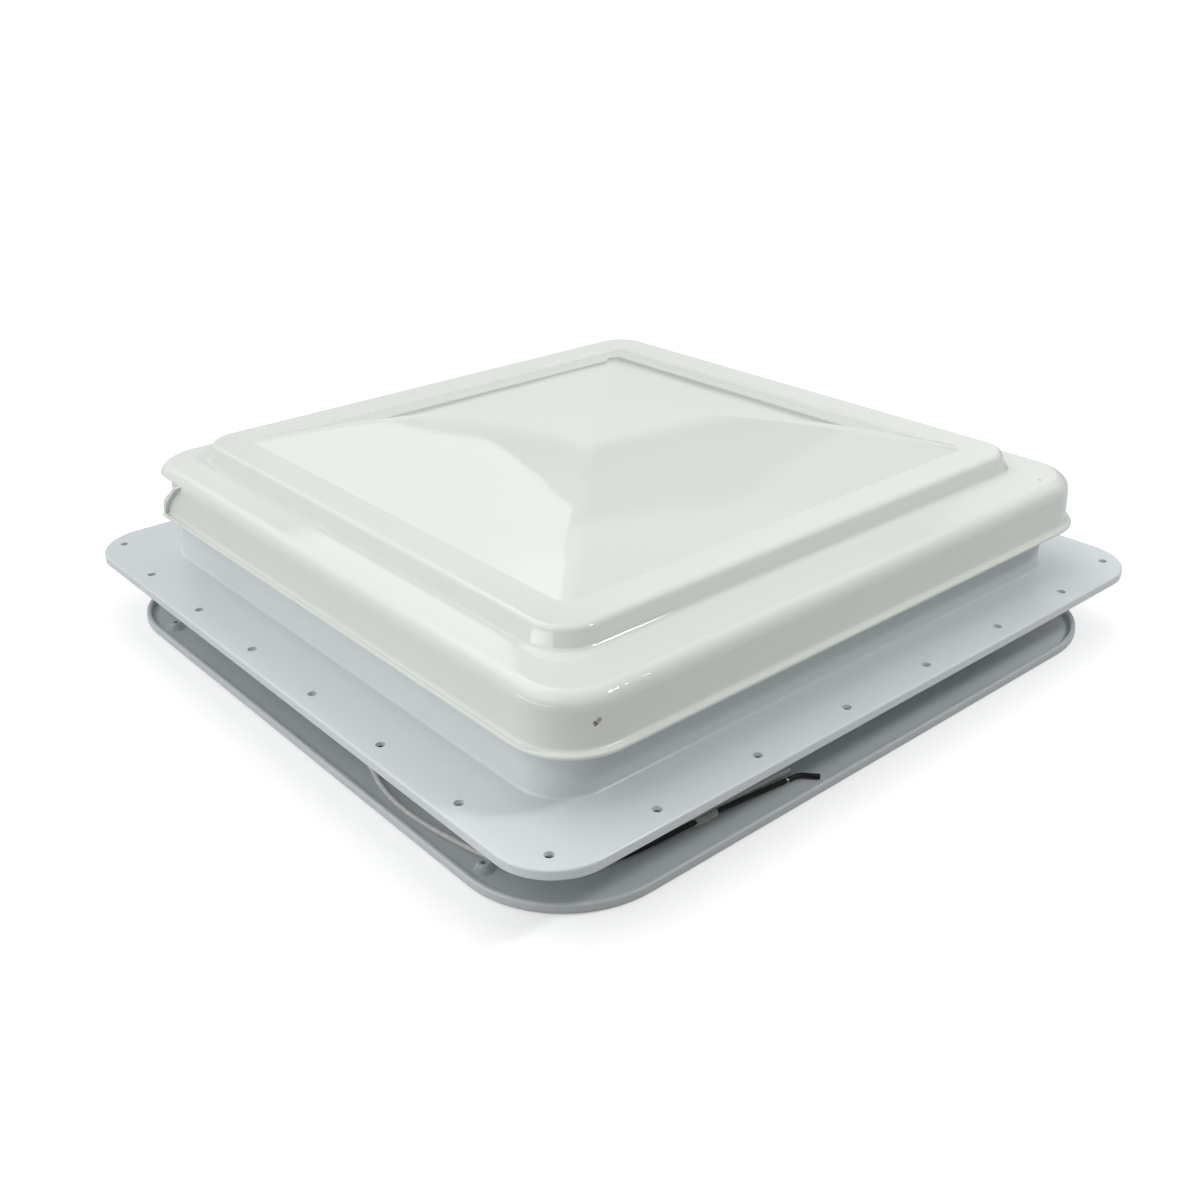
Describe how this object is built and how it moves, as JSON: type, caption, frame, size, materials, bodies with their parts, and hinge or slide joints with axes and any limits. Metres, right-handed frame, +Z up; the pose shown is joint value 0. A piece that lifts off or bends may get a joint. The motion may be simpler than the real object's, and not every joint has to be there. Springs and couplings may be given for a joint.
{
  "type": "caravan roof vent",
  "caption": "Square caravan roof vent with a hinged dome lid, worm-driven lift, extractor fan, insect screen and ceiling garnish.",
  "frame": {"origin": "on the bench under the middle of the vent, which stands on its garnish", "axes": "+Z up out of the roof, +Y to the hinge side, -Y to the side that opens"},
  "size_m": [0.4612, 0.4612, 0.1349],
  "materials": {
    "lid_plastic": "glossy off-white, slightly aged",
    "base_plastic": "semi-gloss cool white",
    "garnish_plastic": "satin pale grey-white",
    "inner_plastic": "satin white",
    "seal_foam": "matt black foam",
    "plated_steel": "zinc plated",
    "track_aluminium": "mill finish",
    "nylon": "natural nylon",
    "motor_steel": "satin",
    "black_plastic": "matt black",
    "screen_net": "dark mesh",
    "white_insulation": "semi-matt white",
    "black_insulation": "semi-matt black",
    "copper": "bare copper strands",
    "clear_sleeve": "clear soft tube"
  },
  "bodies": {
    "base": {"base_frame": "base_plastic", "hinge_pin_left": "plated_steel", "hinge_pin_right": "plated_steel", "operator_bracket": "inner_plastic", "operator_screws": "plated_steel", "shaft_bush": "nylon", "arm_pivot_pin": "plated_steel", "motor_bracket": "plated_steel", "bracket_screws": "plated_steel", "motor_can": "motor_steel", "motor_cap": "black_plastic", "motor_screws": "plated_steel", "screen_frame": "inner_plastic", "insect_screen": "screen_net", "clip_screws": "plated_steel", "switch_bracket": "plated_steel", "switch_screws": "plated_steel", "switch_housing": "black_plastic", "lead_grommet": "black_plastic", "white_lead": "white_insulation", "white_lead_stub": "white_insulation", "black_lead": "black_insulation", "black_lead_copper": "copper", "black_lead_stub": "black_insulation", "lead_sleeve": "clear_sleeve"},
    "lid": {"lid_dome": "lid_plastic", "lid_seal": "seal_foam", "lift_track": "track_aluminium", "track_rivets": "track_aluminium"},
    "lift_arm": {"lift_arm": "plated_steel", "sector_gear": "plated_steel", "slide_button": "nylon", "button_pin": "plated_steel"},
    "crank": {"worm_shaft": "plated_steel", "crank_knob": "inner_plastic", "knob_screw": "plated_steel"},
    "fan": {"fan_impeller": "inner_plastic", "fan_shaft": "plated_steel", "fan_retainer": "nylon"},
    "rocker": {"switch_rocker": "black_plastic"},
    "garnish": {"garnish": "garnish_plastic"},
    "clip_right": {"screen_clip_1": "inner_plastic"},
    "clip_rear": {"screen_clip_2": "inner_plastic"},
    "clip_left": {"screen_clip_3": "inner_plastic"},
    "clip_front": {"screen_clip_4": "inner_plastic"}
  },
  "joints": [
    {"name": "lid_hinge", "type": "hinge", "parent": "base", "child": "lid", "pos_m": [0, 0.1979, 0.0905], "axis": [-1, 0, 0], "range_deg": [0, 60]},
    {"name": "arm_pivot", "type": "hinge", "parent": "base", "child": "lift_arm", "pos_m": [0.138, 0.176, 0.084], "axis": [-1, 0, 0], "range_deg": [0, 66.7]},
    {"name": "crank_turn", "type": "hinge", "parent": "base", "child": "crank", "pos_m": [0.138, 0.14, 0.084], "axis": [0, 0, -1], "range_deg": [0, 2664]},
    {"name": "fan_spin", "type": "hinge", "parent": "base", "child": "fan", "pos_m": [0, 0, 0.041], "axis": [0, 0, 1], "continuous": true},
    {"name": "rocker_tilt", "type": "hinge", "parent": "base", "child": "rocker", "pos_m": [-0.134, 0.138, 0.024], "axis": [1, 0, 0], "range_deg": [0, 24]},
    {"name": "garnish_slide", "type": "slide", "parent": "base", "child": "garnish", "axis": [0, 0, -1], "range_m": [0, 0.02]},
    {"name": "clip_right_turn", "type": "hinge", "parent": "base", "child": "clip_right", "pos_m": [0.1655, 0, 0.0226], "axis": [0, 0, 1], "range_deg": [0, 90]},
    {"name": "clip_rear_turn", "type": "hinge", "parent": "base", "child": "clip_rear", "pos_m": [0, 0.1655, 0.0226], "axis": [0, 0, 1], "range_deg": [0, 90]},
    {"name": "clip_left_turn", "type": "hinge", "parent": "base", "child": "clip_left", "pos_m": [-0.1655, 0, 0.0226], "axis": [0, 0, 1], "range_deg": [0, 90]},
    {"name": "clip_front_turn", "type": "hinge", "parent": "base", "child": "clip_front", "pos_m": [0, -0.1655, 0.0226], "axis": [0, 0, 1], "range_deg": [0, 90]}
  ],
  "couplings": [
    {"joint": "arm_pivot", "follows": "lid_hinge", "ratio": 1.1095},
    {"joint": "crank_turn", "follows": "lid_hinge", "ratio": 44.378}
  ]
}
